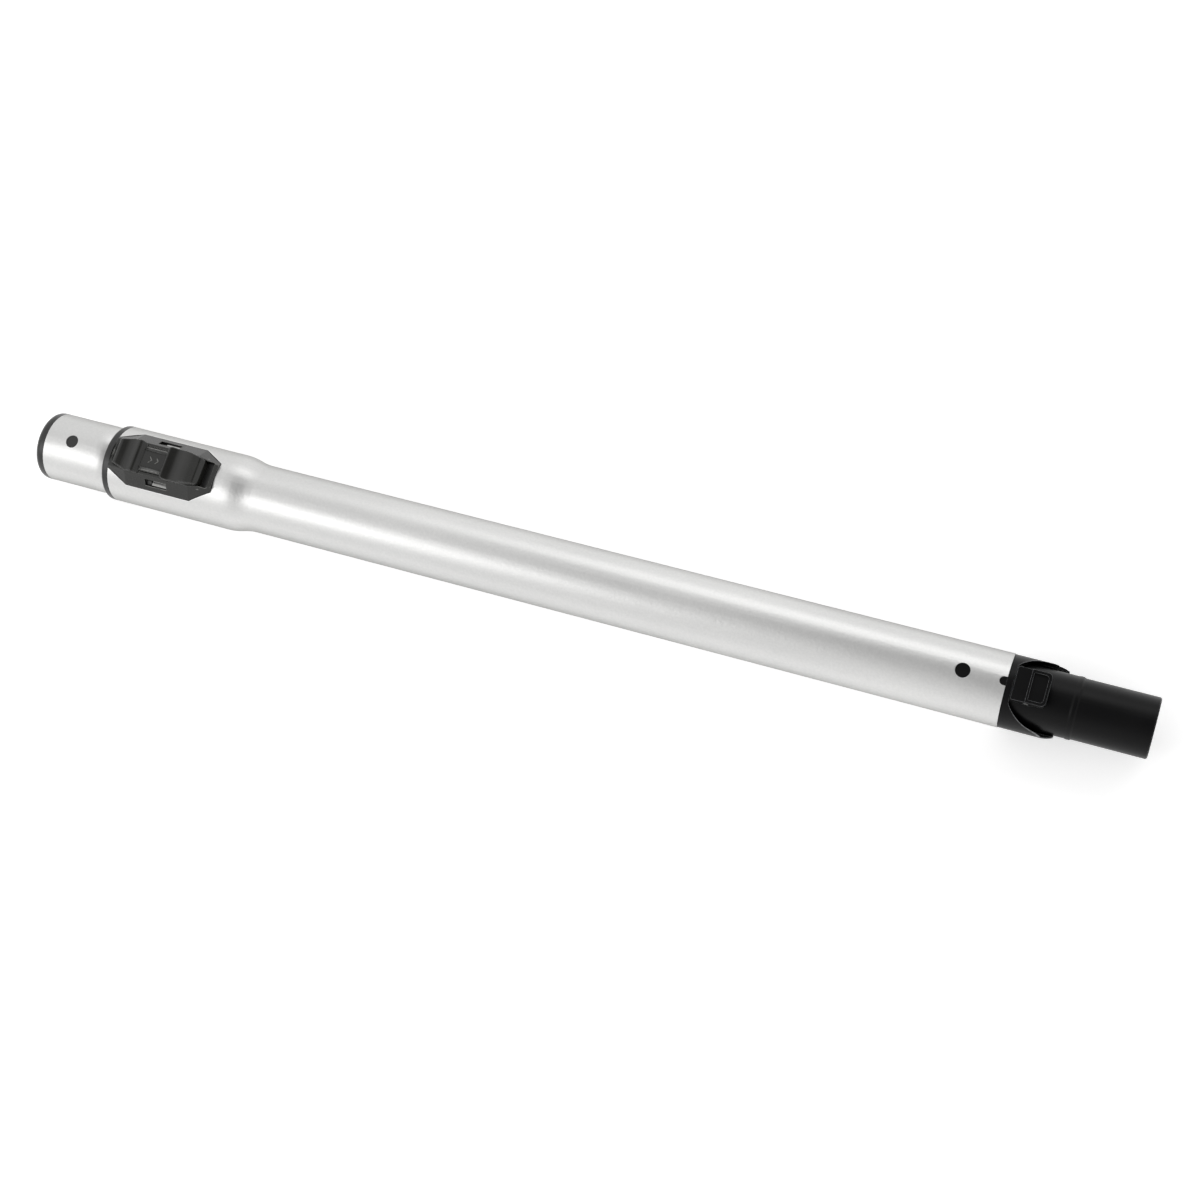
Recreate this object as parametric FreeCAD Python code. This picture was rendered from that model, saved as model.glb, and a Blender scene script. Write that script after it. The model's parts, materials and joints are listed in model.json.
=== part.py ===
import FreeCAD, Part
import math
import os

# Telescopic vacuum wand, collapsed, lying with its slider up. Millimetres.
# Stations run along the tube axis from the outer tube's mouth: +X leads to the nozzle
# end, -X to the hand end. Heights are measured from the tube axis, +Z towards the slider.
# The finished pieces are moved so that the origin is under the middle of the wand.

Vec = FreeCAD.Vector
ALONG = Vec(1, 0, 0)
ACROSS = Vec(0, 1, 0)
UP = Vec(0, 0, 1)
FAR = 60.0                # reach of cutting tools past the piece they cut
PAST = 1.0                # overshoot of a cut past a flat end
ROUND_STEPS = 5           # facets of a rounded rim

# Clearances
slide_gap = 0.3           # radial or side gap between pieces that move past each other
seat_gap = 0.05           # gap between pieces that are assembled and stay put
pin_gap = 0.08            # radial running gap of the latch on its pin

# Outer tube
tube_od = 39.2
tube_wall = 0.9
tube_length = 520.8
mouth_flare = 2.55        # the widened end that holds the slider stands out this far
mouth_length = 73.5
mouth_neck = 17.5         # length of the S-shaped step down to tube_od
snap_hole_d = 7.9
snap_hole_setback = 22.4  # from the nozzle end of the tube
key_width = 4.8
key_length = 3.6

# Inner tube
slim_wall = 0.8
socket_rim = -45.4        # station of the socket's aluminium edge
socket_neck_start = -12.0
socket_neck = 14.0        # length of the S-shaped step down to slim_od
liner_hole_d = 7.65
liner_hole_station = -28.3
notch_pitch = 20.0
notch_depth = 1.5
flute_width = 5.0         # groove along the underside that stops the tube turning
flute_depth = 1.2
flute_start = 9.0

# Socket liner and its end ring
socket_bore = 32.4
liner_wall = 2.85
end_ring_length = 5.9
end_ring_round = 3.4
liner_end = -18.0
mouth_chamfer = 0.9
peg_setback = 0.5         # pegs end this far under the tube's surface

# Guide sleeve and collar
collar_length = 4.4
collar_round = 1.4
sleeve_setback = 2.5      # the thick part ends this far before the outer tube narrows
nose_reach = 0.5          # the thin tail, the stop for the tail bush, ends this far past the neck
deck_wall = 2.25          # wall under the flat that the slider runs on
cone_length = 10.6
cone_share = 0.44         # part of the inner tube's step that the lead-in cone makes room for
sleeve_key_depth = 1.0    # how far the guide key is rooted in the sleeve

# Slider bezel
bezel_widest = 31.8
bezel_left_width = 19.4
bezel_right_width = 17.7
bezel_left_corner = 12.3
bezel_right_corner = 53.8
bezel_end = 67.7
bezel_rise = 0.95         # top above the outer tube's surface
bezel_tail_rise = 0.75    # the same at the end towards the nozzle
bezel_rim = 1.4           # wall at the hand end of the slider opening
bezel_tail_rim = 2.4      # wall at its other end
tail_corner = 1.2         # plan radius of the opening there
ledge_width = 1.55        # lip that holds the slider's base down
ledge_thickness = 1.6
window_start = 25.6
window_end = 39.4
window_inner = 11.0
window_outer = 13.7

# Slider, with heights above the bezel's top and shares of each hump's length
slider_travel = 5.0
waist_width = 15.0        # saddle, and all that stands in the bezel's opening
hump_width = 19.6         # the humps overhang the bezel
base_width = 18.0         # flanges that run under the bezel's ledges
base_start = 8.0
base_setback = 5.0
saddle_start = 21.6
saddle_end = 35.9
saddle_rise = 0.6
saddle_edge = 0.5         # rounding of the saddle's long edges
hump_sink = 0.8           # the humps' ends start this far under the saddle
toe_drop = 0.9            # depth of the slider's edge at the hand end
left_ridge_share = 0.184
left_ridge = 3.8
left_ridge_round = 2.6
left_dish_share = 0.52
left_dish = 2.0
left_dish_bend = 0.46     # rounding as a share of the hump's length
left_back_share = 0.827
left_back = 3.9
left_back_round = 2.4
lip_share = 0.046
right_lip = 5.5
lip_edge_round = 1.5
right_dish_share = 0.32
right_dish = 3.1
right_dish_bend = 0.33
crown_share = 0.627
right_crown = 4.9
crown_bend = 0.58
heel_share = 0.909
heel_top = 4.1
heel_top_round = 1.6
heel_height = 1.7         # edge of the slider at the nozzle end
hand_width = 13.2         # the left hump narrows to this at the hand end
hand_taper = 0.56
heel_width = 15.2         # the right hump narrows to this at the nozzle end
heel_taper = 0.5
hand_round = 3.5          # plan radii of the slider's corners
taper_round = 8.0
saddle_round = 3.0
lip_round = 3.6
heel_round = 2.6
hump_edge = 0.8           # rounding of the humps' top edges
slider_end_wall = 2.5
spring_well = 15.5        # length of the spring's well in the slider
spring_well_rise = 0.9
spring_width = 9.0
spring_height = 3.6
spring_strip = 0.5        # thickness of the zigzag spring's steel
spring_bends = 6
post_thickness = 1.4
post_root = 0.8           # depth of the post in the sleeve

# Lock plate
lock_station = 34.2
lock_length = 10.0
lock_width = 25.4
lock_block_width = 14.6
lock_block_height = 3.75
lock_end_height = 1.2
lock_lift = 1.6

# Tail bush
bush_length = 24.0
bush_wall = 1.05
bush_flange = 4.0

# Nozzle connector
plug_length = 36.8        # part of the connector inside the tube
plug_wall = 2.0
plug_lead = 4.4           # length of the cone between plug bore and spigot bore
collar_step = 0.35        # the collar lies this far under the tube's surface
connector_length = 28.0   # collar, from the tube's end
collar_wall = 1.8
collar_nose = 6.5         # length of the collar's rounded end
collar_lip = 0.3          # wall left at that end
root_od = 32.65
gap_floor = 7.2           # end of the groove round the spigot's root, from the tube's end
bead_od = 33.1
bead_start = 33.2
bead_length = 3.7
bead_ramp = 1.1
spigot_od = 32.0
spigot_tip = 74.9
spigot_bore = 27.8
tip_chamfer = 0.7
mouth_cut_radius = 18.3   # fish-mouth cut, seen from above
mouth_cut_centre = 18.7
mouth_cut_start = 3.4
mouth_runout = 10.0       # angle at which the cut leaves the sides, in degrees
tongue_width = 10.0
tongue_slot = 0.8
tongue_length = 23.0

# Latch, with heights above the root of the spigot
latch_start = 4.0         # from the tube's end
latch_end = 21.5
latch_width = 17.7
latch_wall = 1.6
latch_rise = 6.075
pad_drop = 0.6            # the press pad's face under the latch's top
panel_drop = 1.2
latch_skin = 1.0
rib_width = 1.2
pivot_station = 11.8
pivot_rise = 2.275
pivot_pin_d = 2.5
pin_setback = 0.2
latch_round = 2.4         # plan radius of the corners towards the nozzle
pad_round = 0.8
panel_round = 0.4
nose_width = 8.0
nose_length = 2.6
nose_gap = 0.675
nose_flat = 1.4
nose_lead = 0.6
cheek_gap = 0.075
cheek_half = 2.6
cheek_ramp = 1.4
skirt_rise = 1.875
ear_inner = 3.2
ear_thickness = 2.4
ear_round = 1.9
leaf_start = 2.4          # the leaf spring's bend, from the pivot towards the pad
leaf_length = 3.2
leaf_width = 5.0
leaf_strip = 0.4
seat_rise = 0.375
seat_length = 4.6
spring_end_gap = 0.15     # free length at each end of a spring

# Sizes that follow from the ones above
tube_r = tube_od / 2
mouth_r = tube_r + mouth_flare
bush_r = tube_r - tube_wall - slide_gap
slim_r = bush_r - bush_wall - seat_gap
socket_r = socket_bore / 2 + liner_wall + seat_gap + slim_wall
bore_r = slim_r - slim_wall
sleeve_bore = slim_r + slide_gap
sleeve_r = mouth_r - tube_wall - seat_gap
sleeve_end = mouth_length - sleeve_setback
nose_end = mouth_length + mouth_neck + nose_reach
deck_height = sleeve_bore + deck_wall
ring_end = socket_rim - end_ring_length
tip_station = tube_length + spigot_tip
bezel_top = mouth_r + bezel_rise
ledge_height = bezel_top - ledge_thickness
base_height = ledge_height - slide_gap
hump_floor = bezel_top + slide_gap
opening_half = waist_width / 2 + slide_gap
opening_end = bezel_end - bezel_tail_rim
slider_start = bezel_rim + 2 * slide_gap
slider_end = opening_end - slider_travel - slide_gap
slider_bottom = deck_height + slide_gap / 2
base_end = slider_end - base_setback
plug_r = tube_r - tube_wall - seat_gap
plug_start = tube_length - plug_length
notch_floor = slim_r - notch_depth
notch_half = lock_length / 2 + slide_gap
notch_count = int((plug_start - nose_end - bush_length - slide_gap) / notch_pitch) + 1
stroke = (notch_count - 1) * notch_pitch
bush_start = nose_end + slide_gap + stroke
tail_station = bush_start + bush_length - bush_flange
lock_bottom = notch_floor + slide_gap
well_end = slider_end - slider_end_wall
well_start = well_end - spring_well
post_end = well_end - slide_gap
post_start = post_end - post_thickness
spring_top = deck_height + spring_height
collar_r = tube_r - collar_step
groove_r = collar_r - collar_wall
root_r = root_od / 2
pivot_x = tube_length + pivot_station
pivot_height = root_r + pivot_rise
latch_top = root_r + latch_rise
pad_height = latch_top - pad_drop
panel_height = latch_top - panel_drop
nose_bottom = root_r + nose_gap
cheek_bottom = root_r + cheek_gap
latch_skirt = root_r + skirt_rise
seat_height = root_r + seat_rise
latch_x0 = tube_length + latch_start
latch_x1 = tube_length + latch_end
latch_half = latch_width / 2


# Shared shapes
def rod(x0, x1, radius):
    """Round bar on the tube axis."""
    return Part.makeCylinder(radius, x1 - x0, Vec(x0, 0, 0), ALONG)


def ring(x0, x1, outer, inner):
    return rod(x0, x1, outer).cut(rod(x0 - PAST, x1 + PAST, inner))


def post(x, y, radius, z0, z1):
    """Upright round bar."""
    return Part.makeCylinder(radius, z1 - z0, Vec(x, y, z0), UP)


def cross_pin(x, z, radius, half):
    return Part.makeCylinder(radius, 2 * half, Vec(x, -half, z), ACROSS)


def block(x0, x1, y0, y1, z0, z1):
    return Part.makeBox(x1 - x0, y1 - y0, z1 - z0, Vec(x0, y0, z0))


def strip(x0, x1, half, z0, z1):
    """Block centred across the wand."""
    return block(x0, x1, -half, half, z0, z1)


def line(p, q):
    return Part.makeLine(Vec(p[0], 0, p[1]), Vec(q[0], 0, q[1]))


def lines(*points):
    return [line(p, q) for p, q in zip(points, points[1:])]


def arc(p, m, q):
    return Part.Arc(Vec(p[0], 0, p[1]), Vec(m[0], 0, m[1]), Vec(q[0], 0, q[1])).toShape()


def round_corner(centre, radius, start_deg, end_deg, steps):
    """Facets along an arc of the X-Z plane, between two angles about its centre."""
    points = []
    for step in range(steps + 1):
        turn = math.radians(start_deg + (end_deg - start_deg) * step / steps)
        points.append((centre[0] + radius * math.cos(turn), centre[1] + radius * math.sin(turn)))
    return lines(*points)


def rounded_line(corners, radii):
    """Line through corners of the X-Z plane, with each inner corner rounded by its radius."""
    edges = []
    begin = Vec(*corners[0])
    for corner, radius in zip(range(1, len(corners) - 1), radii):
        here = Vec(*corners[corner])
        back = (Vec(*corners[corner - 1]) - here).normalize()
        ahead = (Vec(*corners[corner + 1]) - here).normalize()
        half_turn = back.getAngle(ahead) / 2
        inward = (back + ahead).normalize()
        reach = radius / math.tan(half_turn)
        centre = here + inward * (radius / math.sin(half_turn))
        edges.append(Part.makeLine(begin, here + back * reach))
        bend = Part.Arc(here + back * reach, centre - inward * radius, here + ahead * reach)
        edges.append(bend.toShape())
        begin = here + ahead * reach
    edges.append(Part.makeLine(begin, Vec(*corners[-1])))
    return edges


def step_arcs(x0, r0, x1, r1):
    """S-shaped step between two radii: two equal tangent arcs."""
    span = x1 - x0
    drop = r0 - r1
    bend = (span ** 2 + drop ** 2) / (4 * abs(drop))
    sign = 1 if drop > 0 else -1
    half_turn = math.asin(span / 2 / bend) / 2
    run = bend * math.sin(half_turn)
    sag = sign * bend * (1 - math.cos(half_turn))
    middle = ((x0 + x1) / 2, (r0 + r1) / 2)
    first = arc((x0, r0), (x0 + run, r0 - sag), middle)
    second = arc(middle, (x1 - run, r1 + sag), (x1, r1))
    return [first, second]


def face_of(edges):
    return Part.Face(Part.Wire(Part.__sortEdges__(edges)))


def turned(edges):
    """Solid of revolution about the tube axis from a half section (x, radius)."""
    return face_of(edges).revolve(Vec(0, 0, 0), ALONG, 360)


def side_prism(edges, half):
    """Side outline (x, z) extruded across the wand."""
    face = face_of(edges)
    face.translate(Vec(0, -half, 0))
    return face.extrude(Vec(0, 2 * half, 0))


def side_polygon(points, half):
    return side_prism(lines(*points, points[0]), half)


def plan_polygon(points, z0, z1):
    """Plan outline (x, y) extruded upwards."""
    corners = [Vec(x, y, z0) for x, y in points]
    face = Part.Face(Part.makePolygon(corners + corners[:1]))
    return face.extrude(Vec(0, 0, z1 - z0))


def upright_edges(shape, x):
    """Upright edges of a shape at one station."""
    upright = [e for e in shape.Edges if abs(e.tangentAt(e.FirstParameter).z) > 0.9]
    return [e for e in upright if abs(e.CenterOfMass.x - x) < 0.01]


def plan_block(stations, z0, z1):
    """Upright prism from (station, half width, corner radius) on one side, mirrored to the other."""
    side = [(x, half) for x, half, radius in stations]
    prism = plan_polygon(side + [(x, -half) for x, half in reversed(side)], z0, z1)
    for x, half, radius in stations:
        prism = prism.makeFillet(radius, upright_edges(prism, x))
    return prism


def beyond(p, q, r, inside):
    """Everything on the far side of the plane through three points, seen from inside."""
    normal = (q - p).cross(r - p)
    normal.normalize()
    if (inside - p).dot(normal) > 0:
        normal = normal * -1
    disc = Part.Face(Part.Wire(Part.makeCircle(2 * FAR, p, normal)))
    return disc.extrude(normal * FAR)


def surface_height(radius, y):
    return math.sqrt(radius ** 2 - y ** 2)


def bezel_outline(grow):
    """Eight-sided plan of the bezel, grown outwards by a clearance."""
    left = bezel_left_width / 2 + grow
    widest = bezel_widest / 2 + grow
    right = bezel_right_width / 2 + grow
    upper = [(0, left), (bezel_left_corner, widest), (bezel_right_corner, widest)]
    upper.append((bezel_end + grow, right))
    return upper + [(x, -y) for x, y in reversed(upper)]


# Tubes
def make_outer_tube():
    outer_edges = lines((0, mouth_r), (mouth_length, mouth_r))
    outer_edges += step_arcs(mouth_length, mouth_r, mouth_length + mouth_neck, tube_r)
    outer_edges += lines((mouth_length + mouth_neck, tube_r), (tube_length, tube_r),
                         (tube_length, tube_r - tube_wall),
                         (mouth_length + mouth_neck, tube_r - tube_wall))
    outer_edges += step_arcs(mouth_length, mouth_r - tube_wall,
                             mouth_length + mouth_neck, tube_r - tube_wall)
    outer_edges += lines((mouth_length, mouth_r - tube_wall), (0, mouth_r - tube_wall), (0, mouth_r))
    tube = turned(outer_edges)
    window = plan_polygon(bezel_outline(seat_gap), deck_height / 2, FAR)
    window = window.fuse(strip(-PAST, PAST, bezel_left_width / 2 + seat_gap, deck_height / 2, FAR))
    snap_hole = post(tube_length - snap_hole_setback, 0, snap_hole_d / 2, tube_r / 2, FAR)
    key_round = post(tube_length - key_length + key_width / 2, 0, key_width / 2, tube_r / 2, FAR)
    key_run = strip(tube_length - key_length + key_width / 2, tube_length + PAST, key_width / 2,
                    tube_r / 2, FAR)
    return tube.cut(window).cut(snap_hole).cut(key_round).cut(key_run)


def notch_cutters(floor, half):
    cutters = []
    for index in range(notch_count):
        centre = lock_station + index * notch_pitch
        cutters.append(strip(centre - half, centre + half, slim_r, floor, FAR))
    return cutters


def make_inner_tube():
    neck_end = socket_neck_start + socket_neck
    flute_end = bush_start - 4 * slide_gap
    outside = lines((socket_rim, 0), (socket_rim, socket_r), (socket_neck_start, socket_r))
    outside += step_arcs(socket_neck_start, socket_r, neck_end, slim_r)
    outside += lines((neck_end, slim_r), (tail_station, slim_r), (tail_station, 0), (socket_rim, 0))
    inside = lines((socket_rim - PAST, 0), (socket_rim - PAST, socket_r - slim_wall),
                   (socket_neck_start, socket_r - slim_wall))
    inside += step_arcs(socket_neck_start, socket_r - slim_wall, neck_end, bore_r)
    inside += lines((neck_end, bore_r), (tail_station + PAST, bore_r), (tail_station + PAST, 0),
                    (socket_rim - PAST, 0))
    flute = strip(flute_start, flute_end, flute_width / 2, -FAR, flute_depth - slim_r)
    flute_back = strip(flute_start - slim_wall, flute_end + slim_wall, flute_width / 2 + slim_wall,
                       -FAR, flute_depth + slim_wall - slim_r)
    skin = turned(outside).cut(notch_cutters(notch_floor, notch_half) + [flute])
    core = turned(inside).cut(notch_cutters(notch_floor - slim_wall, notch_half + slim_wall)
                              + [flute_back])
    peg_hole = post(liner_hole_station, 0, liner_hole_d / 2, socket_r / 2, FAR)
    return skin.cut(core).cut(peg_hole)


def make_socket_liner():
    outer = socket_r - slim_wall - seat_gap
    bore = socket_bore / 2
    round_centre = (ring_end + end_ring_round, socket_r - end_ring_round)
    edges = lines((liner_end, bore), (liner_end, outer), (socket_rim, outer), (socket_rim, socket_r),
                  (ring_end + end_ring_round, socket_r))
    edges += round_corner(round_centre, end_ring_round, 90, 180, ROUND_STEPS)
    edges += lines((ring_end, socket_r - end_ring_round), (ring_end, bore + mouth_chamfer),
                   (ring_end + mouth_chamfer, bore), (liner_end, bore))
    peg_top = socket_r - peg_setback
    peg = post(liner_hole_station, 0, liner_hole_d / 2 - seat_gap, bore + seat_gap, peg_top)
    peg = peg.cut(rod(ring_end, 0, outer - seat_gap))
    return turned(edges).fuse(peg).removeSplitter()


# Slider group
def make_guide_sleeve():
    cone_top = sleeve_bore + cone_share * (socket_r - slim_r)
    collar_centre = (collar_round - collar_length, mouth_r - collar_round)
    edges = lines((-collar_length, mouth_r - collar_round), (-collar_length, cone_top),
                  (cone_length - collar_length, sleeve_bore), (nose_end, sleeve_bore))
    edges += lines((nose_end, sleeve_bore), (nose_end, bush_r), (sleeve_end, bush_r),
                   (sleeve_end, sleeve_r), (-seat_gap, sleeve_r), (-seat_gap, mouth_r),
                   (collar_round - collar_length, mouth_r))
    edges += round_corner(collar_centre, collar_round, 90, 180, ROUND_STEPS)
    sleeve = turned(edges)
    deck = strip(seat_gap, sleeve_end + PAST, mouth_r, deck_height, FAR)
    lock_slot = strip(lock_station - notch_half, lock_station + notch_half, mouth_r,
                      lock_bottom - slide_gap, FAR)
    key_top = flute_depth - slim_r - slide_gap
    key = strip(lock_station - lock_length, lock_station + lock_length, flute_width / 2 - slide_gap,
                -sleeve_bore - sleeve_key_depth, key_top)
    stop = strip(post_start, post_end, spring_width / 2, deck_height - post_root, spring_top)
    return sleeve.fuse(key).cut(deck).cut(lock_slot).fuse(stop).removeSplitter()


def bezel_facets():
    """Sloping outer faces of the bezel: two flanks, four corners and two ends."""
    widest = bezel_widest / 2
    left = bezel_left_width / 2
    right = bezel_right_width / 2
    middle = Vec((bezel_left_corner + bezel_right_corner) / 2, 0, deck_height)
    shelf = opening_half + ledge_width
    low = surface_height(mouth_r, widest)
    facets = []
    for side in (-1, 1):
        flank_left = Vec(bezel_left_corner, side * widest, low)
        flank_right = Vec(bezel_right_corner, side * widest, low)
        top_left = Vec(bezel_left_corner, side * shelf, bezel_top)
        top_right = Vec(bezel_right_corner, side * shelf, bezel_top)
        end_left = Vec(0, side * left, surface_height(mouth_r, left))
        end_right = Vec(bezel_end, side * right, surface_height(mouth_r, right))
        facets.append(beyond(flank_left, flank_right, top_left, middle))
        facets.append(beyond(flank_left, end_left, top_left, middle))
        facets.append(beyond(flank_right, end_right, top_right, middle))
    far_side = Vec(bezel_right_corner, widest, bezel_top)
    near_side = Vec(bezel_right_corner, -widest, bezel_top)
    facets.append(beyond(far_side, near_side, Vec(bezel_end, 0, mouth_r + bezel_tail_rise), middle))
    far_side = Vec(bezel_left_corner, widest, bezel_top)
    near_side = Vec(bezel_left_corner, -widest, bezel_top)
    facets.append(beyond(far_side, near_side, Vec(0, 0, mouth_r - collar_round / 2), middle))
    return facets


def make_slider_bezel():
    body = plan_polygon(bezel_outline(-seat_gap), 0, bezel_top)
    body = body.cut(rod(-FAR, 2 * FAR, sleeve_r + seat_gap)).cut(bezel_facets())
    body = body.common(block(seat_gap, bezel_end, -mouth_r, mouth_r, 0, FAR))
    opening = plan_block([(bezel_rim, opening_half, hand_round + slide_gap),
                          (opening_end, opening_half, tail_corner)], 0, FAR)
    runway = strip(base_start - slide_gap, base_end + slider_travel + slide_gap,
                   opening_half + ledge_width, 0, ledge_height)
    lift_room = strip(lock_station - notch_half, lock_station + notch_half, window_outer, 0,
                      lock_bottom + lock_end_height + lock_lift + slide_gap)
    body = body.cut(opening).cut(runway).cut(lift_room)
    for side in (-1, 1):
        near, far = sorted((side * window_inner, side * window_outer))
        body = body.cut(block(window_start, window_end, near, far, 0, FAR))
    return body


def hump(outline, radii, plan):
    """Thumb hump: a rounded side outline inside a plan, with its top edges rounded.

    The outline gives station and height above the bezel. Beside the waist the hump starts
    above the bezel, which it overhangs.
    """
    corners = [(x, bezel_top + rise) for x, rise in outline]
    start = corners[0]
    end = corners[-1]
    edges = rounded_line([(x, 0, z) for x, z in corners], radii)
    edges += lines(end, (end[0], slider_bottom), (start[0], slider_bottom), start)
    solid = side_prism(edges, hump_width).common(plan)
    rims = []
    for edge in solid.Edges:
        middle = edge.valueAt((edge.FirstParameter + edge.LastParameter) / 2)
        tilts = []
        for face in solid.ancestorsOfType(edge, Part.Face):
            u, v = face.Surface.parameter(middle)
            tilts.append(abs(face.normalAt(u, v).z))
        if middle.z > base_height and min(tilts) < 0.01 < max(tilts):
            rims.append(edge)
    solid = solid.makeFillet(hump_edge, rims)
    beside = strip(start[0] - PAST, end[0] + PAST, hump_width, 0, hump_floor)
    waist = strip(start[0] - PAST, end[0] + PAST, waist_width / 2, 0, hump_floor)
    return solid.cut(beside.cut(waist))


def make_slider_button():
    half = hump_width / 2
    left_run = saddle_start - slider_start
    right_run = slider_end - saddle_end
    foot = saddle_rise - hump_sink
    left = hump([(slider_start, -toe_drop), (slider_start + left_ridge_share * left_run, left_ridge),
                 (slider_start + left_dish_share * left_run, left_dish),
                 (slider_start + left_back_share * left_run, left_back), (saddle_start, foot)],
                [left_ridge_round, left_dish_bend * left_run, left_back_round],
                plan_block([(slider_start, hand_width / 2, hand_round),
                            (slider_start + hand_taper * left_run, half, taper_round),
                            (saddle_start, half, saddle_round)], 0, FAR))
    right = hump([(saddle_end, foot), (saddle_end + lip_share * right_run, right_lip),
                  (saddle_end + right_dish_share * right_run, right_dish),
                  (saddle_end + crown_share * right_run, right_crown),
                  (saddle_end + heel_share * right_run, heel_top), (slider_end, heel_height)],
                 [lip_edge_round, right_dish_bend * right_run, crown_bend * right_run, heel_top_round],
                 plan_block([(saddle_end, half, lip_round),
                             (saddle_end + heel_taper * right_run, half, taper_round),
                             (slider_end, heel_width / 2, heel_round)], 0, FAR))
    saddle = strip(saddle_start - saddle_round, saddle_end + lip_round, waist_width / 2, slider_bottom,
                   bezel_top + saddle_rise)
    tops = [e for e in saddle.Edges if e.CenterOfMass.z > bezel_top]
    crests = [e for e in tops if abs(e.tangentAt(e.FirstParameter).x) > 0.9]
    saddle = saddle.makeFillet(saddle_edge, crests)
    base = strip(base_start, base_end, base_width / 2, slider_bottom, base_height)
    ramp_foot = lock_station + lock_length / 2
    ramp_start = ramp_foot - lock_length - slider_travel - slide_gap
    ramp_end = ramp_foot + 2 * slide_gap
    roof = lock_bottom + lock_block_height + lock_lift + slide_gap
    ramp = [(ramp_start, 0), (ramp_start, roof), (ramp_foot - slider_travel + slide_gap, roof),
            (ramp_end, slider_bottom), (ramp_end, 0)]
    well = strip(well_start, well_end, spring_width / 2 + slide_gap, 0, bezel_top + spring_well_rise)
    slider = saddle.fuse([left, right, base]).cut(side_polygon(ramp, base_width)).cut(well)
    return slider.removeSplitter()


def make_slider_spring():
    """Zigzag strip of spring steel, seen from above, between the slider's well and the sleeve's stop."""
    start = well_start + spring_end_gap
    pitch = (post_start - spring_end_gap - start) / spring_bends
    shift = spring_strip / 2 / math.sin(math.atan2(pitch, spring_width))
    swing = spring_width / 2 - shift
    bends = [(start + bend * pitch, swing if bend % 2 else -swing) for bend in range(spring_bends + 1)]
    far_side = [(x, y + shift) for x, y in bends]
    near_side = [(x, y - shift) for x, y in reversed(bends)]
    return plan_polygon(far_side + near_side, deck_height + slide_gap, spring_top)


def make_lock_plate():
    start = lock_station - lock_length / 2
    end = lock_station + lock_length / 2
    ends = strip(start, end, lock_width / 2, lock_bottom, lock_bottom + lock_end_height)
    middle = strip(start, end, lock_block_width / 2, lock_bottom, lock_bottom + lock_block_height)
    return ends.fuse(middle).removeSplitter()


# Tail of the inner tube
def make_tail_bush():
    end = bush_start + bush_length
    sleeve = ring(bush_start, end, bush_r, slim_r + seat_gap)
    flange = ring(tail_station + seat_gap, end, bush_r, bore_r)
    return sleeve.fuse(flange).removeSplitter()


# Nozzle connector
def connector_core():
    """Plug inside the tube and spigot, without the collar."""
    spigot_r = spigot_od / 2
    bore = spigot_bore / 2
    bead = tube_length + bead_start
    plug_bore = plug_r - plug_wall
    edges = lines((plug_start, plug_bore), (plug_start, plug_r), (tube_length + seat_gap, plug_r),
                  (tube_length + seat_gap, root_r), (bead, root_r), (bead + bead_ramp, bead_od / 2),
                  (bead + bead_length - bead_ramp, bead_od / 2), (bead + bead_length, spigot_r),
                  (tip_station - tip_chamfer, spigot_r), (tip_station, spigot_r - tip_chamfer),
                  (tip_station, bore), (tube_length, bore), (tube_length - plug_lead, plug_bore),
                  (plug_start, plug_bore))
    return turned(edges)


def fish_mouth(end):
    """Cut seen from above: flat behind the latch, then curving out to leave the sides."""
    centre = tube_length + mouth_cut_centre
    first = math.acos((mouth_cut_centre - mouth_cut_start) / mouth_cut_radius)
    last = math.radians(90 - mouth_runout)

    def at(turn, side):
        across = mouth_cut_radius * math.sin(turn)
        return Vec(centre - mouth_cut_radius * math.cos(turn), side * across, 0)

    leaving = at(last, 1)
    end_half = leaving.y + (end - leaving.x) * math.tan(math.radians(mouth_runout))
    edges = [Part.makeLine(at(first, 1), at(first, -1)),
             Part.makeLine(Vec(end, end_half, 0), Vec(end, -end_half, 0))]
    for side in (-1, 1):
        curve = Part.Arc(at(first, side), at((first + last) / 2, side), at(last, side))
        edges.append(curve.toShape())
        edges.append(Part.makeLine(at(last, side), Vec(end, side * end_half, 0)))
    return face_of(edges).extrude(UP * FAR)


def connector_collar():
    """Ring behind the tube's end, rounded off to the nozzle, with the fish mouth in its upper half."""
    start = tube_length + seat_gap
    end = tube_length + connector_length
    floor = tube_length + gap_floor
    buried = (root_od + spigot_bore) / 4
    nose = end - collar_nose
    drop = collar_wall - collar_lip
    bend = (collar_nose ** 2 + drop ** 2) / (2 * drop)
    turn = math.degrees(math.asin(collar_nose / bend))
    edges = lines((floor, groove_r), (floor, buried), (start, buried), (start, collar_r),
                  (nose, collar_r))
    edges += round_corner((nose, collar_r - bend), bend, 90, 90 - turn, ROUND_STEPS)
    edges += lines((end, collar_r - drop), (end, groove_r), (floor, groove_r))
    return turned(edges).cut(fish_mouth(end + PAST))


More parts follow.
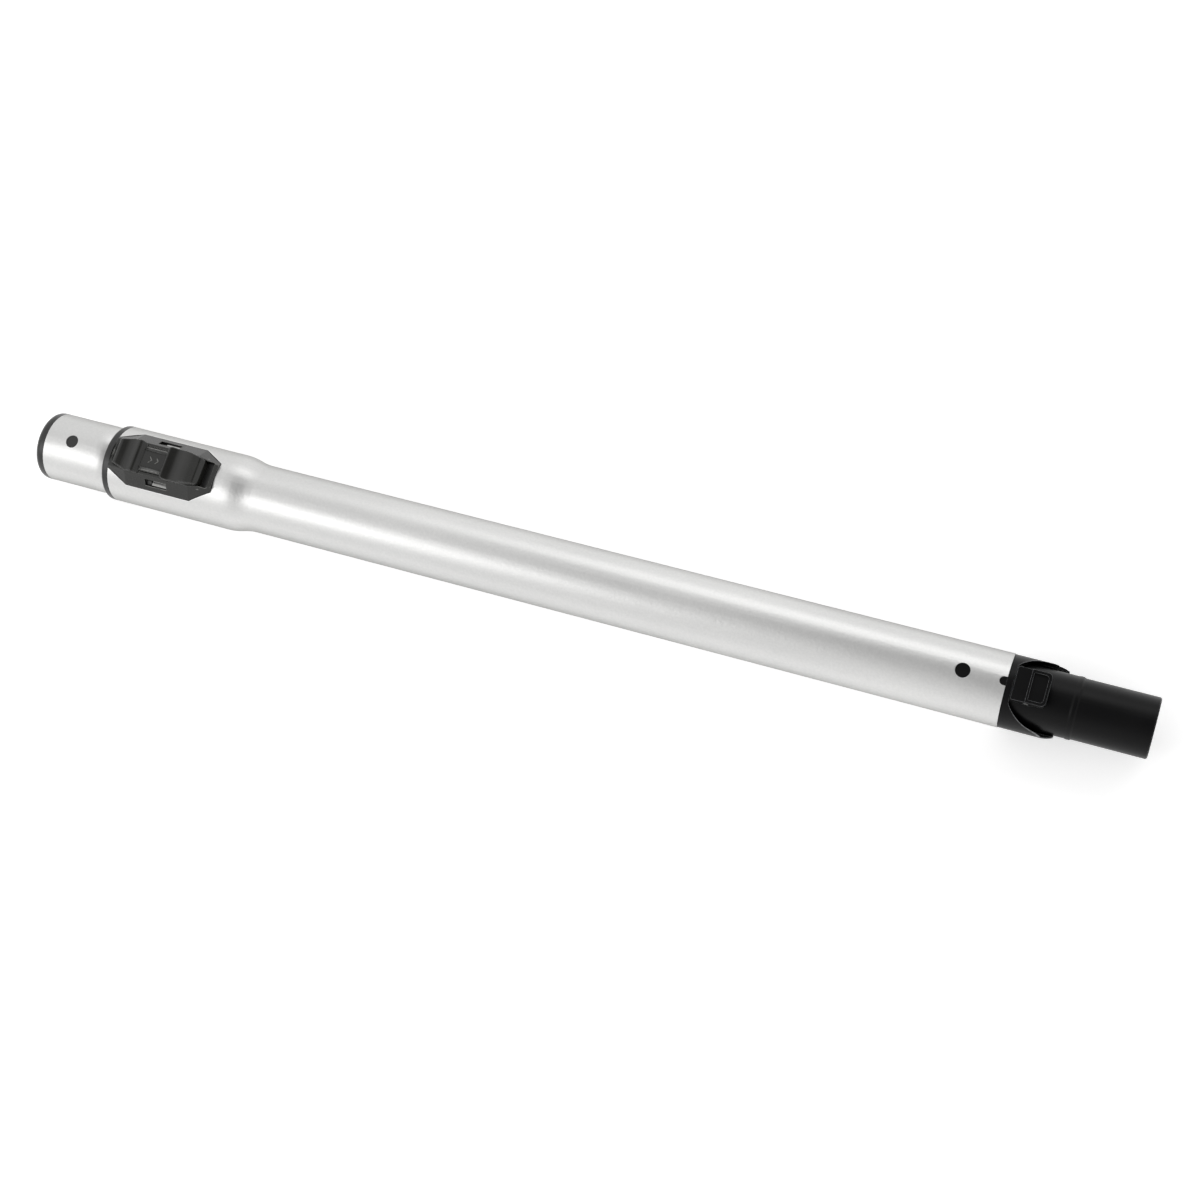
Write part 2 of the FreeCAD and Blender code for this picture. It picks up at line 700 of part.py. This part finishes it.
def make_nozzle_connector():
    body = connector_core().fuse(connector_collar())
    top = tube_r - peg_setback
    under = plug_r - plug_wall / 2
    key_start = tube_length - key_length + seat_gap
    key_r = key_width / 2 - seat_gap
    key = post(key_start + key_r, 0, key_r, under, top)
    key = key.fuse(strip(key_start + key_r, tube_length + PAST, key_r, under, top))
    peg = post(tube_length - snap_hole_setback, 0, snap_hole_d / 2 - seat_gap, under, top)
    body = body.fuse([key, peg])
    for y in (-tongue_width / 2, tongue_width / 2):
        body = body.cut(block(plug_start - PAST, plug_start + tongue_length, y - tongue_slot / 2,
                              y + tongue_slot / 2, plug_r / 2, FAR))
    airway = rod(plug_start, tip_station + PAST, spigot_bore / 2)
    for y in (-ear_inner - ear_thickness, ear_inner):
        ear = Part.makeCylinder(ear_round, ear_thickness, Vec(pivot_x, y, pivot_height), ACROSS)
        foot = block(pivot_x - ear_round, pivot_x + ear_round, y, y + ear_thickness, 0, pivot_height)
        body = body.fuse(ear.fuse(foot).cut(airway))
    seat_end = pivot_x - leaf_start
    seat = strip(seat_end - seat_length, seat_end, leaf_width / 2, 0, seat_height).cut(airway)
    pin_hole = cross_pin(pivot_x, pivot_height, pivot_pin_d / 2, FAR)
    return body.fuse(seat).cut(pin_hole).removeSplitter()


# Latch
def make_latch_rocker():
    floor_right = latch_x1 - latch_wall
    cheek_reach = cheek_half + cheek_ramp
    outline = [(latch_x0, latch_skirt), (pivot_x - cheek_reach, latch_skirt),
               (pivot_x - cheek_half, cheek_bottom), (pivot_x + cheek_half, cheek_bottom),
               (pivot_x + cheek_reach, latch_skirt), (latch_x1, latch_skirt), (latch_x1, latch_top),
               (latch_x0, latch_top)]
    body = side_polygon(outline, latch_half)
    body = body.common(plan_block([(latch_x0, latch_half, pad_round),
                                   (latch_x1, latch_half, latch_round)], 0, FAR))
    rib_start = pivot_x - rib_width / 2
    rib_end = pivot_x + rib_width / 2
    inner = latch_half - latch_wall
    pad_cut = strip(latch_x0 - PAST, rib_start, FAR, pad_height, FAR)
    panel_cut = plan_block([(rib_end, inner, panel_round),
                            (floor_right, inner, latch_round - latch_wall / 2)], panel_height, FAR)
    panel_under = panel_height - latch_skin
    hollow = [(latch_x0 + latch_wall, 0), (latch_x0 + latch_wall, pad_height - latch_skin),
              (rib_end, pad_height - latch_skin), (rib_end + rib_width, panel_under),
              (floor_right, panel_under), (floor_right, 0)]
    body = body.cut(pad_cut).cut(panel_cut).cut(side_polygon(hollow, inner))
    nose_tip = latch_x1 - nose_lead
    nose_start = latch_x1 - nose_length
    nose = [(nose_start, panel_under + latch_skin / 2), (nose_start, nose_bottom + nose_lead),
            (nose_tip - nose_flat, nose_bottom), (nose_tip, nose_bottom),
            (latch_x1, nose_bottom + nose_lead), (latch_x1, panel_under + latch_skin / 2)]
    body = body.fuse(side_polygon(nose, nose_width / 2))
    return body.cut(cross_pin(pivot_x, pivot_height, pivot_pin_d / 2 + pin_gap, FAR)).removeSplitter()


def make_latch_pin():
    return cross_pin(pivot_x, pivot_height, pivot_pin_d / 2, latch_half - pin_setback)


def make_latch_spring():
    """Bent strip of spring steel between the connector and the underside of the press pad."""
    low = seat_height + seat_gap
    high = pad_height - latch_skin - spring_end_gap
    bend = pivot_x - leaf_start
    end = bend - leaf_length
    outline = [(end, low), (bend, low), (bend, low + leaf_strip), (end + leaf_strip, high),
               (end, high), (bend - 2 * leaf_strip, low + leaf_strip), (end, low + leaf_strip)]
    return side_polygon(outline, leaf_width / 2)


def make_parts():
    return {
        "outer_tube": make_outer_tube(),
        "guide_sleeve": make_guide_sleeve(),
        "slider_bezel": make_slider_bezel(),
        "slider_button": make_slider_button(),
        "slider_spring": make_slider_spring(),
        "lock_plate": make_lock_plate(),
        "inner_tube": make_inner_tube(),
        "socket_liner": make_socket_liner(),
        "tail_bush": make_tail_bush(),
        "nozzle_connector": make_nozzle_connector(),
        "latch_rocker": make_latch_rocker(),
        "latch_pin": make_latch_pin(),
        "latch_spring": make_latch_spring(),
    }


os.makedirs("parts", exist_ok=True)
to_origin = Vec(-(ring_end + tip_station) / 2, 0, mouth_r)
for name, shape in make_parts().items():
    shape.translate(to_origin)
    shape.exportStep("parts/" + name + ".step")
    print(name, len(shape.Solids), shape.isValid(), round(shape.Volume, 1))
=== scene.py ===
import bmesh
import bpy
import json
from mathutils import Matrix, Vector


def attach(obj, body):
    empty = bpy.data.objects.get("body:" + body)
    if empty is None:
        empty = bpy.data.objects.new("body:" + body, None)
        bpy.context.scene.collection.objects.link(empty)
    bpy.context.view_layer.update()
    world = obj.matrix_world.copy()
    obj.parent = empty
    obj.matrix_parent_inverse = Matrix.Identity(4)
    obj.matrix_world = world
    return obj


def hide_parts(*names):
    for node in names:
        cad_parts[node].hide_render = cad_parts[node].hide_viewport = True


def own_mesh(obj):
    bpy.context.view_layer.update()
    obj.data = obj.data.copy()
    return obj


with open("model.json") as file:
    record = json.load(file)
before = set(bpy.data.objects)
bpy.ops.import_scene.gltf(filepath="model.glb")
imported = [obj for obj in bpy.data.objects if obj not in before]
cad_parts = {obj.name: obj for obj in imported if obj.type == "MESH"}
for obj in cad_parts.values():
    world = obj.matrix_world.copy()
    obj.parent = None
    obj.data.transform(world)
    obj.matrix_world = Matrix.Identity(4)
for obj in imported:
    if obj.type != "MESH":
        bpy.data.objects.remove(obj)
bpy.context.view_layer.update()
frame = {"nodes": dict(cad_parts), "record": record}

# Telescopic vacuum wand on a white floor: finishes of the imported nodes, slider marks, copies of the packed
# springs, camera and studio light.
# Metres, in the imported model's frame: the wand lies along X with its thumb slider up (+Z).

nodes = frame["nodes"]

# The saddle between the slider's humps: top height, ends and half width
saddle_top = 0.04585
saddle_start = -0.2506
saddle_end = -0.2363
saddle_half = 0.0075
sunk = 0.00002              # pieces on the saddle are set this far into it

# Chevrons on the saddle
chevron_count = 2
chevron_pitch = 0.0043
chevron_half_span = 0.0019
chevron_stroke = 0.0009
chevron_height = 0.0002
chevron_start = -0.2451
chevron_sweep = 0.8         # how far the arms lean back, for each metre of width
chevron_crown = 0.86        # size of the top face beside the foot

# Sills along the saddle's edges: distances from the middle and heights above the saddle
sill_foot = saddle_half - 0.0005
sill_lip = 0.0001
sill_crest = 0.0053
sill_crest_height = 0.00078
sill_shoulder = 0.0049
sill_shoulder_height = 0.00070
sill_back = 0.0046
sill_softening = 0.00006

merge_distance = 0.000001


# Node helpers
def add_node(tree, kind, **inputs):
    """New node with its input sockets set by name; spaces in socket names are written as _."""
    node = tree.nodes.new(kind)
    for name, value in inputs.items():
        node.inputs[name.replace("_", " ")].default_value = value
    return node


def link(tree, source, target):
    tree.links.new(source, target)


def math_node(tree, operation, first, second):
    node = tree.nodes.new("ShaderNodeMath")
    node.operation = operation
    for socket, value in zip(node.inputs, (first, second)):
        if isinstance(value, (int, float)):
            socket.default_value = value
        else:
            link(tree, value, socket)
    return node.outputs[0]


def spread(tree, value, low, high):
    """Maps a 0 to 1 value to a range."""
    node = tree.nodes.new("ShaderNodeMapRange")
    link(tree, value, node.inputs["Value"])
    node.inputs["To Min"].default_value = low
    node.inputs["To Max"].default_value = high
    return node.outputs["Result"]


def ease(tree, value, reach, levels):
    """Smooth step of a value between two limits, from one level to another."""
    node = tree.nodes.new("ShaderNodeMapRange")
    node.interpolation_type = "SMOOTHSTEP"
    labels = ("From Min", "From Max", "To Min", "To Max")
    for label, number in zip(labels, (*reach, *levels)):
        node.inputs[label].default_value = number
    link(tree, value, node.inputs["Value"])
    return node.outputs["Result"]


def new_group(name, inputs, outputs):
    """Shader node group with float inputs (name: default) and float outputs."""
    tree = bpy.data.node_groups.new(name, "ShaderNodeTree")
    for label, value in inputs.items():
        socket = tree.interface.new_socket(label, in_out="INPUT", socket_type="NodeSocketFloat")
        socket.default_value = value
    for label in outputs:
        tree.interface.new_socket(label, in_out="OUTPUT", socket_type="NodeSocketFloat")
    return tree, tree.nodes.new("NodeGroupInput"), tree.nodes.new("NodeGroupOutput")


def use_group(tree, group, **values):
    """Places a shader node group with its inputs set by name."""
    node = add_node(tree, "ShaderNodeGroup")
    node.node_tree = group
    for name, value in values.items():
        node.inputs[name].default_value = value
    return node


# Shared surface effects
def make_grain_group():
    """Fine moulded or etched grain: bump height and a tone that follows it."""
    coarse_scale = 0.3      # of the fine grain's scale
    coarse_share = 0.5      # of the fine grain's height
    tree, source, result = new_group("surface grain", {"Scale": 1800.0}, ["Height", "Tone"])
    place = tree.nodes.new("ShaderNodeTexCoord")
    fine = add_node(tree, "ShaderNodeTexNoise", Detail=2.0, Roughness=0.6)
    link(tree, place.outputs["Object"], fine.inputs["Vector"])
    link(tree, source.outputs["Scale"], fine.inputs["Scale"])
    coarse = add_node(tree, "ShaderNodeTexNoise", Detail=1.0)
    link(tree, place.outputs["Object"], coarse.inputs["Vector"])
    link(tree, math_node(tree, "MULTIPLY", source.outputs["Scale"], coarse_scale), coarse.inputs["Scale"])
    height = math_node(tree, "MULTIPLY_ADD", coarse.outputs["Fac"], coarse_share)
    link(tree, fine.outputs["Fac"], height.node.inputs[2])
    link(tree, height, result.inputs["Height"])
    link(tree, fine.outputs["Fac"], result.inputs["Tone"])
    return tree


def make_handling_group():
    """Broad, faint smudges from storage and handling."""
    clear_to_smudged = (0.35, 0.75)
    tree, source, result = new_group("handling marks", {"Scale": 30.0, "Stretch": 4.0}, ["Mask"])
    place = tree.nodes.new("ShaderNodeTexCoord")
    parts = tree.nodes.new("ShaderNodeSeparateXYZ")
    link(tree, place.outputs["Object"], parts.inputs["Vector"])
    squeezed = tree.nodes.new("ShaderNodeCombineXYZ")
    along = math_node(tree, "DIVIDE", parts.outputs["X"], source.outputs["Stretch"])
    link(tree, along, squeezed.inputs["X"])
    link(tree, parts.outputs["Y"], squeezed.inputs["Y"])
    link(tree, parts.outputs["Z"], squeezed.inputs["Z"])
    cloud = add_node(tree, "ShaderNodeTexNoise", Detail=4.0, Roughness=0.55)
    link(tree, squeezed.outputs["Vector"], cloud.inputs["Vector"])
    link(tree, source.outputs["Scale"], cloud.inputs["Scale"])
    link(tree, ease(tree, cloud.outputs["Fac"], clear_to_smudged, (0.0, 1.0)), result.inputs["Mask"])
    return tree


def make_edge_highlight_group():
    """Mask of the outward edges, where a painted highlight lightens the colour, broken up by a fine noise."""
    face_to_edge = (0.78, 0.45)
    patchy_to_full = (0.30, 0.60)
    least_highlight = 0.35
    tree, source, result = new_group("rubbed edges", {"Reach": 0.0005, "Scale": 900.0}, ["Mask"])
    inside = tree.nodes.new("ShaderNodeAmbientOcclusion")
    inside.inside = True
    inside.only_local = True
    inside.samples = 8
    link(tree, source.outputs["Reach"], inside.inputs["Distance"])
    edge = ease(tree, inside.outputs["AO"], face_to_edge, (0.0, 1.0))
    place = tree.nodes.new("ShaderNodeTexCoord")
    breaks = add_node(tree, "ShaderNodeTexNoise", Detail=3.0, Roughness=0.6)
    link(tree, place.outputs["Object"], breaks.inputs["Vector"])
    link(tree, source.outputs["Scale"], breaks.inputs["Scale"])
    patchy = ease(tree, breaks.outputs["Fac"], patchy_to_full, (least_highlight, 1.0))
    link(tree, math_node(tree, "MULTIPLY", edge, patchy), result.inputs["Mask"])
    return tree


grain_group = make_grain_group()
handling_group = make_handling_group()
edge_highlight_group = make_edge_highlight_group()


# Materials
def start_material(name):
    material = bpy.data.materials.new(name)
    material.use_nodes = True
    tree = material.node_tree
    return material, tree, tree.nodes["Principled BSDF"]


def tone_mix(tree, mask, dark, light):
    """Colour between two tones by a mask."""
    mix = tree.nodes.new("ShaderNodeMix")
    mix.data_type = "RGBA"
    mix.inputs["A"].default_value = (*dark, 1.0)
    mix.inputs["B"].default_value = (*light, 1.0)
    link(tree, mask, mix.inputs["Factor"])
    return mix.outputs["Result"]


def finish_surface(tree, shader, grain, marks, edges, colours, painted_highlight, roughness, bump, depth, rounding):
    """Colour, roughness and bump of a surface from its grain, handling marks and softened edges, with a
    painted highlight that lightens the outward edges.
    """
    grain_share = 0.6
    marks_share = 0.4
    mask = math_node(tree, "MULTIPLY_ADD", grain.outputs["Tone"], grain_share)
    link(tree, math_node(tree, "MULTIPLY", marks.outputs["Mask"], marks_share), mask.node.inputs[2])
    body = tone_mix(tree, mask, *colours)
    # Painted highlight: the colour turns lighter along the outward edges.
    highlit = tone_mix(tree, edges.outputs["Mask"], colours[0], painted_highlight)
    link(tree, body, highlit.node.inputs["A"])
    link(tree, highlit, shader.inputs["Base Color"])
    link(tree, spread(tree, marks.outputs["Mask"], *roughness), shader.inputs["Roughness"])
    dent = add_node(tree, "ShaderNodeBump", Strength=bump, Distance=depth)
    link(tree, grain.outputs["Height"], dent.inputs["Height"])
    link(tree, dent.outputs["Normal"], shader.inputs["Normal"])
    if rounding:
        soft_edge = add_node(tree, "ShaderNodeBevel", Radius=rounding)
        soft_edge.samples = 6
        link(tree, soft_edge.outputs["Normal"], dent.inputs["Normal"])


def satin_aluminium():
    material, tree, shader = start_material("satin anodised aluminium")
    shader.inputs["Metallic"].default_value = 1.0
    shader.inputs["Specular Tint"].default_value = (0.36, 0.36, 0.35, 1.0)
    # The light edge colour here is a painted highlight on the tube's outward edges.
    finish_surface(tree, shader,
                   grain=use_group(tree, grain_group, Scale=750.0),
                   marks=use_group(tree, handling_group, Scale=22.0, Stretch=5.0),
                   edges=use_group(tree, edge_highlight_group, Reach=0.0004, Scale=600.0),
                   colours=((0.60, 0.60, 0.595), (0.77, 0.767, 0.757)), painted_highlight=(0.90, 0.90, 0.90),
                   roughness=(0.41, 0.47), bump=0.6, depth=0.00012, rounding=0.0)
    return material


def moulded_plastic(name, colours, painted_highlight, roughness, grain_scale, gloss, rounding):
    material, tree, shader = start_material(name)
    shader.inputs["Specular IOR Level"].default_value = gloss
    finish_surface(tree, shader,
                   grain=use_group(tree, grain_group, Scale=grain_scale),
                   marks=use_group(tree, handling_group, Scale=60.0, Stretch=1.5),
                   edges=use_group(tree, edge_highlight_group, Reach=0.00045, Scale=900.0),
                   colours=colours, painted_highlight=painted_highlight, roughness=roughness, bump=0.25, depth=0.00005,
                   rounding=rounding)
    return material


def rolled_steel(name, colours, roughness):
    material, tree, shader = start_material(name)
    shader.inputs["Metallic"].default_value = 1.0
    # The light edge colour here is a painted highlight on the steel's outward edges.
    finish_surface(tree, shader,
                   grain=use_group(tree, grain_group, Scale=4000.0),
                   marks=use_group(tree, handling_group, Scale=90.0, Stretch=6.0),
                   edges=use_group(tree, edge_highlight_group, Reach=0.0003, Scale=1500.0),
                   colours=colours, painted_highlight=(0.62, 0.62, 0.61), roughness=roughness, bump=0.2, depth=0.00002,
                   rounding=0.0002)
    return material


# Each plastic's light edge colour is a painted highlight along its outward edges.
finishes = {
    "satin_aluminium": satin_aluminium(),
    "charcoal_plastic": moulded_plastic(
        "charcoal slider plastic", colours=((0.007, 0.007, 0.006), (0.017, 0.017, 0.015)),
        painted_highlight=(0.20, 0.20, 0.19), roughness=(0.22, 0.30), grain_scale=2400.0, gloss=0.5, rounding=0.0006),
    "black_plastic": moulded_plastic(
        "black sleeve plastic", colours=((0.012, 0.012, 0.012), (0.024, 0.024, 0.023)),
        painted_highlight=(0.07, 0.07, 0.068), roughness=(0.30, 0.38), grain_scale=2200.0, gloss=0.5, rounding=0.0005),
    "connector_plastic": moulded_plastic(
        "black connector plastic", colours=((0.0006, 0.0006, 0.0008), (0.0022, 0.0022, 0.0025)),
        painted_highlight=(0.20, 0.203, 0.21), roughness=(0.36, 0.44), grain_scale=2200.0, gloss=0.16, rounding=0.0003),
    "bright_steel": rolled_steel(
        "zinc plated steel", colours=((0.46, 0.46, 0.45), (0.60, 0.60, 0.59)), roughness=(0.34, 0.46)),
    "spring_steel": rolled_steel(
        "spring steel strip", colours=((0.36, 0.36, 0.37), (0.50, 0.50, 0.50)), roughness=(0.28, 0.40)),
}
for part in frame["record"]["subparts"]:
    slots = nodes[part["node"]].data.materials
    slots.clear()
    slots.append(finishes[part["material_slot"]])


# Slider marks
def chevron_tree(material):
    """Geometry nodes: a row of raised chevrons along X that point the way the slider is pushed."""
    tree = bpy.data.node_groups.new("slider chevrons", "GeometryNodeTree")
    tree.interface.new_socket("Geometry", in_out="OUTPUT", socket_type="NodeSocketGeometry")
    tree.interface.new_socket("Count", in_out="INPUT", socket_type="NodeSocketInt")
    for label in ("Pitch", "Half Span", "Stroke", "Height"):
        tree.interface.new_socket(label, in_out="INPUT", socket_type="NodeSocketFloat")
    tree.interface.new_socket("Centre", in_out="INPUT", socket_type="NodeSocketVector")
    given = tree.nodes.new("NodeGroupInput").outputs

    # One flat band, bent to a chevron
    band = add_node(tree, "GeometryNodeMeshGrid", Vertices_X=2, Vertices_Y=3)
    link(tree, given["Stroke"], band.inputs["Size X"])
    link(tree, math_node(tree, "MULTIPLY", given["Half Span"], 2.0), band.inputs["Size Y"])
    place = tree.nodes.new("ShaderNodeSeparateXYZ")
    link(tree, tree.nodes.new("GeometryNodeInputPosition").outputs[0], place.inputs[0])
    swept = tree.nodes.new("ShaderNodeCombineXYZ")
    width = math_node(tree, "ABSOLUTE", place.outputs["Y"], 0.0)
    link(tree, math_node(tree, "MULTIPLY", width, -chevron_sweep), swept.inputs["X"])
    bent = tree.nodes.new("GeometryNodeSetPosition")
    link(tree, band.outputs["Mesh"], bent.inputs["Geometry"])
    link(tree, swept.outputs[0], bent.inputs["Offset"])

    # Raised, drawn in at the top and closed underneath
    raised = tree.nodes.new("GeometryNodeExtrudeMesh")
    raised.inputs["Individual"].default_value = False
    link(tree, bent.outputs[0], raised.inputs["Mesh"])
    link(tree, given["Height"], raised.inputs["Offset Scale"])
    crown = add_node(tree, "GeometryNodeScaleElements", Scale=chevron_crown)
    link(tree, raised.outputs["Mesh"], crown.inputs["Geometry"])
    link(tree, raised.outputs["Top"], crown.inputs["Selection"])
    under = tree.nodes.new("GeometryNodeFlipFaces")
    link(tree, bent.outputs[0], under.inputs["Mesh"])
    shell = tree.nodes.new("GeometryNodeJoinGeometry")
    link(tree, under.outputs[0], shell.inputs[0])
    link(tree, crown.outputs[0], shell.inputs[0])
    closed = add_node(tree, "GeometryNodeMergeByDistance", Distance=merge_distance)
    link(tree, shell.outputs[0], closed.inputs["Geometry"])

    # Copies in a row
    row = tree.nodes.new("GeometryNodeMeshLine")
    step = tree.nodes.new("ShaderNodeCombineXYZ")
    link(tree, given["Pitch"], step.inputs["X"])
    link(tree, given["Count"], row.inputs["Count"])
    link(tree, given["Centre"], row.inputs["Start Location"])
    link(tree, step.outputs[0], row.inputs["Offset"])
    copies = tree.nodes.new("GeometryNodeInstanceOnPoints")
    link(tree, row.outputs["Mesh"], copies.inputs["Points"])
    link(tree, closed.outputs[0], copies.inputs["Instance"])
    solid = tree.nodes.new("GeometryNodeRealizeInstances")
    link(tree, copies.outputs[0], solid.inputs[0])
    finish = tree.nodes.new("GeometryNodeSetMaterial")
    finish.inputs["Material"].default_value = material
    link(tree, solid.outputs[0], finish.inputs["Geometry"])
    link(tree, finish.outputs[0], tree.nodes.new("NodeGroupOutput").inputs["Geometry"])
    return tree


def grow(name, tree, values):
    """Plain mesh object from a geometry node tree with its named inputs set."""
    seed = bpy.data.objects.new(name, bpy.data.meshes.new(name + "_seed"))
    bpy.context.scene.collection.objects.link(seed)
    grower = seed.modifiers.new("grow", "NODES")
    grower.node_group = tree
    for item in tree.interface.items_tree:
        if item.in_out == "INPUT":
            grower[item.identifier] = values[item.name]
    view = bpy.context.evaluated_depsgraph_get()
    mesh = bpy.data.meshes.new_from_object(seed.evaluated_get(view))
    seed.modifiers.remove(grower)
    seed.data = mesh
    return seed


def place_mesh(name, shape):
    """Object at the origin from a finished bmesh, which is freed."""
    mesh = bpy.data.meshes.new(name)
    shape.to_mesh(mesh)
    shape.free()
    piece = bpy.data.objects.new(name, mesh)
    bpy.context.scene.collection.objects.link(piece)
    return piece


def ridge(name, profile, start, end, softening):
    """Straight ridge along X from a profile of (y, z) points, closed at both ends, with softened edges."""
    shape = bmesh.new()
    rings = [[shape.verts.new((x, y, z)) for y, z in profile] for x in (start, end)]
    shape.faces.new(rings[0])
    shape.faces.new(reversed(rings[1]))
    for index in range(len(profile)):
        after = (index + 1) % len(profile)
        shape.faces.new((rings[0][index], rings[1][index], rings[1][after], rings[0][after]))
    bmesh.ops.recalc_face_normals(shape, faces=shape.faces)
    bmesh.ops.bevel(shape, geom=shape.edges, offset=softening, segments=2, affect="EDGES", profile=0.5)
    piece = place_mesh(name, shape)
    piece.data.shade_smooth()
    return piece


# The chevrons are thinner than the edge reach, so the charcoal plastic's painted highlight lightens most of
# their surface.
chevrons = grow("slider_chevrons", chevron_tree(finishes["charcoal_plastic"]), {
    "Count": chevron_count, "Pitch": chevron_pitch, "Half Span": chevron_half_span,
    "Stroke": chevron_stroke, "Height": chevron_height,
    "Centre": (chevron_start, 0.0, saddle_top - sunk)})
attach(chevrons, "slider")
sill_section = (
    (sill_foot, -sunk),
    (sill_foot, sill_lip),
    (sill_crest, sill_crest_height),
    (sill_shoulder, sill_shoulder_height),
    (sill_back, -sunk),
)
# The sills take the charcoal plastic, whose painted highlight lightens their thin edges.
for side, label in ((-1, "near"), (1, "far")):
    profile = [(side * y, saddle_top + z) for y, z in sill_section]
    sill = ridge("saddle_sill_" + label, profile, saddle_start - sunk, saddle_end + sunk, sill_softening)
    sill.data.materials.append(finishes["charcoal_plastic"])
    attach(sill, "slider")


# Springs copied in place of the packed ones
def live_spring(node):
    """Copy of a packed spring, merged and finished in spring steel, shown in place of the packed one."""
    shape = bmesh.new()
    shape.from_mesh(nodes[node].data)
    bmesh.ops.remove_doubles(shape, verts=shape.verts, dist=merge_distance)
    piece = place_mesh(node + "_strip", shape)
    piece.data.shade_flat()
    piece.data.materials.append(finishes["spring_steel"])
    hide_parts(node)
    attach(piece, "wand_body")
    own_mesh(piece)


live_spring("slider_spring")
live_spring("latch_spring")


# Camera, from the photograph's perspective
camera_right = Vector((0.93070, 0.30450, -0.20267))
camera_up = Vector((-0.24211, 0.92815, 0.28271))
camera_back = Vector((0.27420, -0.21404, 0.93755))
camera_place = Vector((0.3087, -0.2272, 0.9833))
lens = bpy.data.cameras.new("camera")
lens.lens = 56.65
lens.sensor_width = 36.0
lens.clip_start = 0.01
camera = bpy.data.objects.new("camera", lens)
turn = Matrix((camera_right, camera_up, camera_back)).transposed()
camera.matrix_world = Matrix.Translation(camera_place) @ turn.to_4x4()
bpy.context.scene.collection.objects.link(camera)
bpy.context.scene.camera = camera


# Floor and studio light
def make_floor(half, tone, roughness, glow):
    """White floor: plain white to the camera and in reflections, with the wand's shadow kept."""
    mesh = bpy.data.meshes.new("floor")
    corners = [(-half, -half, 0), (half, -half, 0), (half, half, 0), (-half, half, 0)]
    mesh.from_pydata(corners, [], [(0, 1, 2, 3)])
    floor = bpy.data.objects.new("floor", mesh)
    bpy.context.scene.collection.objects.link(floor)
    material, tree, shader = start_material("white floor")
    shader.inputs["Base Color"].default_value = (tone, tone, tone, 1.0)
    shader.inputs["Roughness"].default_value = roughness
    light = add_node(tree, "ShaderNodeEmission", Strength=glow)
    both = tree.nodes.new("ShaderNodeAddShader")
    link(tree, shader.outputs["BSDF"], both.inputs[0])
    link(tree, light.outputs["Emission"], both.inputs[1])
    path = tree.nodes.new("ShaderNodeLightPath")
    seen = math_node(tree, "MAXIMUM", path.outputs["Is Camera Ray"], path.outputs["Is Glossy Ray"])
    seen = math_node(tree, "MAXIMUM", seen, path.outputs["Is Transmission Ray"])
    choose = tree.nodes.new("ShaderNodeMixShader")
    link(tree, seen, choose.inputs["Fac"])
    link(tree, shader.outputs["BSDF"], choose.inputs[1])
    link(tree, both.outputs["Shader"], choose.inputs[2])
    link(tree, choose.outputs["Shader"], tree.nodes["Material Output"].inputs["Surface"])
    mesh.materials.append(material)


def softbox(name, place, target, width, height, power):
    lamp = bpy.data.lights.new(name, "AREA")
    lamp.shape = "RECTANGLE"
    lamp.size = width
    lamp.size_y = height
    lamp.energy = power
    box = bpy.data.objects.new(name, lamp)
    aim = Vector(target) - Vector(place)
    box.matrix_world = Matrix.Translation(place) @ aim.to_track_quat("-Z", "Y").to_matrix().to_4x4()
    bpy.context.scene.collection.objects.link(box)


def make_world(horizon, pale, dark, pale_to_dark, horizon_to_ceiling):
    """Pale ring around the horizon, and a ceiling that darkens from the socket end to the nozzle end."""
    world = bpy.data.worlds.new("studio")
    world.use_nodes = True
    tree = world.node_tree
    place = tree.nodes.new("ShaderNodeTexCoord")
    parts = tree.nodes.new("ShaderNodeSeparateXYZ")
    link(tree, place.outputs["Generated"], parts.inputs["Vector"])
    ceiling = ease(tree, parts.outputs["X"], pale_to_dark, (pale, dark))
    height = ease(tree, parts.outputs["Z"], horizon_to_ceiling, (0.0, 1.0))
    mix = tree.nodes.new("ShaderNodeMix")
    mix.inputs["A"].default_value = horizon
    link(tree, height, mix.inputs["Factor"])
    link(tree, ceiling, mix.inputs["B"])
    link(tree, mix.outputs["Result"], tree.nodes["Background"].inputs["Color"])
    bpy.context.scene.world = world


make_floor(half=6.0, tone=0.90, roughness=0.9, glow=0.42)
softbox("left softbox", place=(-0.85, -0.72, 1.15), target=(-0.05, 0.0, 0.0),
        width=0.80, height=0.70, power=3.9)
softbox("far strip", place=(0.35, 1.3, 1.2), target=(0.15, 0.0, 0.0), width=2.1, height=0.75, power=6.6)
make_world(horizon=1.0, pale=0.98, dark=0.14, pale_to_dark=(-0.50, 0.15), horizon_to_ceiling=(0.35, 0.95))
bpy.context.scene.view_settings.view_transform = "Standard"
